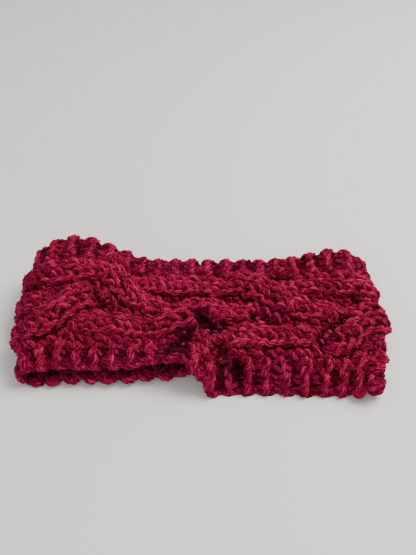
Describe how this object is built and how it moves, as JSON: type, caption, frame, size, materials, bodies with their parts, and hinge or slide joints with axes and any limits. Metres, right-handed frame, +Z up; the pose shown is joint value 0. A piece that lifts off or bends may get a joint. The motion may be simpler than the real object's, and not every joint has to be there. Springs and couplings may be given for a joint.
{
  "type": "ear warmer headband",
  "caption": "Chunky hand-knitted ear warmer headband with a plait cable between garter-stitch borders, lying collapsed on a flat surface",
  "frame": {"origin": "on the resting surface, under the centre of the band's bounding box", "axes": "+X along the flattened loop, +Y across the knitted strip from the near edge to the far edge, +Z up; the head goes through along Y"},
  "size_m": [0.2614, 0.1254, 0.0443],
  "materials": {
    "knit": "fuzzy bulky wool yarn, crimson"
  },
  "bodies": {
    "root": {"knit_band": "knit"}
  },
  "joints": []
}
